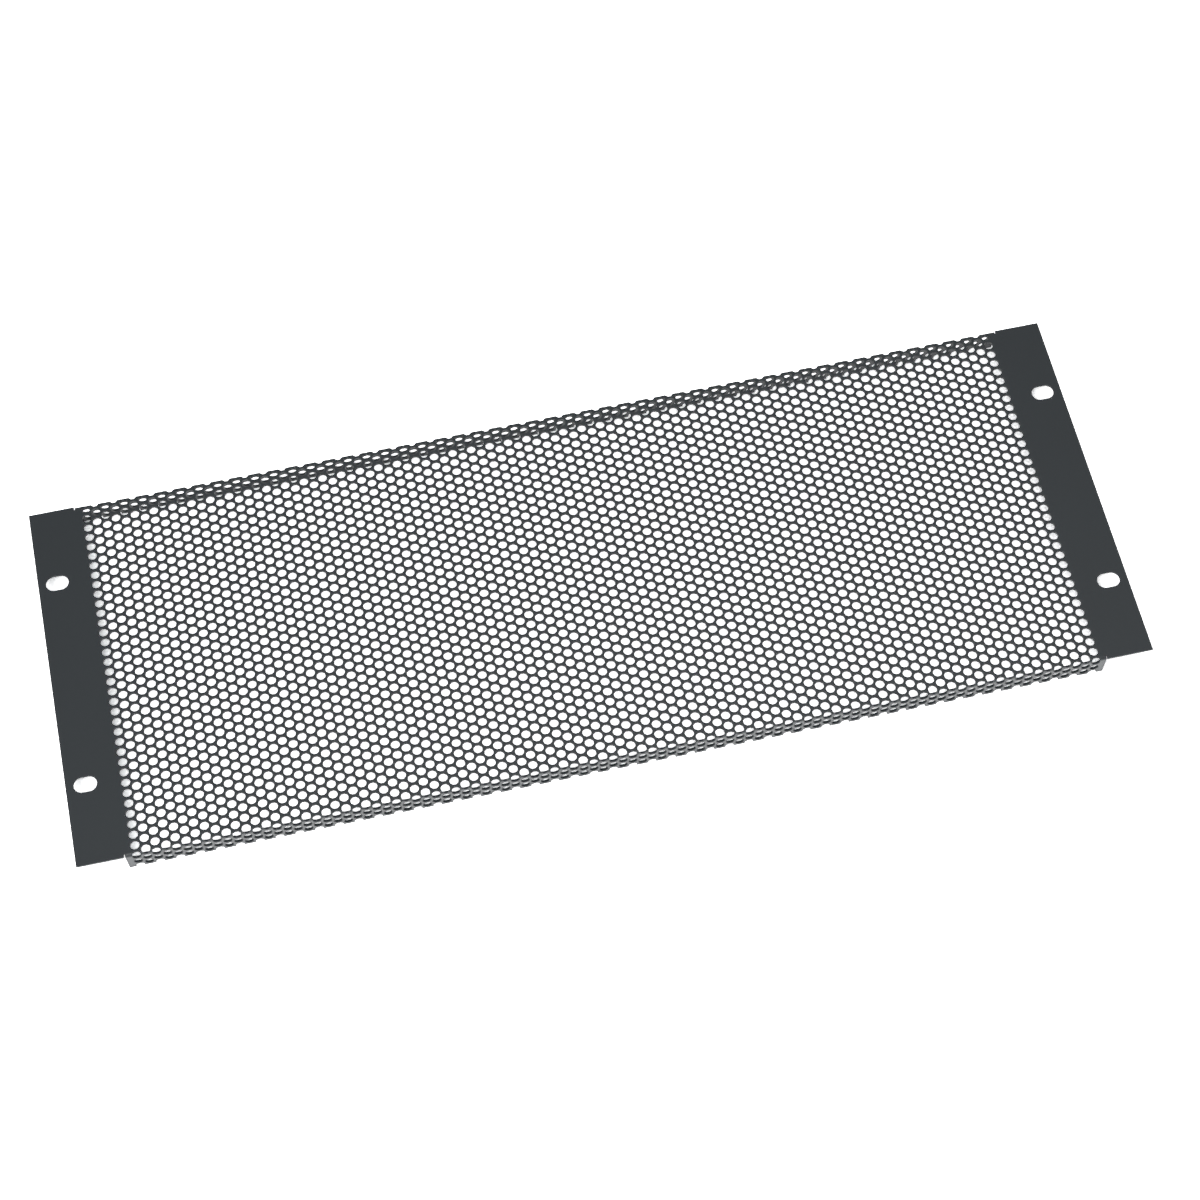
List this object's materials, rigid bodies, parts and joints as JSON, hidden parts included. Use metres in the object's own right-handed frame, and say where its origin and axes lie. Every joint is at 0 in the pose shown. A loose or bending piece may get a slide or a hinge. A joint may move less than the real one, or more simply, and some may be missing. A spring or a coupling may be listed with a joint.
{
  "type": "rack blanking panel",
  "caption": "Perforated steel blanking panel for a server rack, with a rearward flange along each long edge and flat ears slotted for the rail screws.",
  "frame": {"origin": "midway between the two flanges, on the surface that their free edges rest on", "axes": "+X across the rack along the panel's width, +Y up the rack, +Z out of the face towards the user"},
  "size_m": [0.4826, 0.177, 0.0127],
  "materials": {
    "powder_coat": "fine satin black powder coat on steel"
  },
  "bodies": {
    "root": {"panel": "powder_coat"}
  },
  "joints": []
}
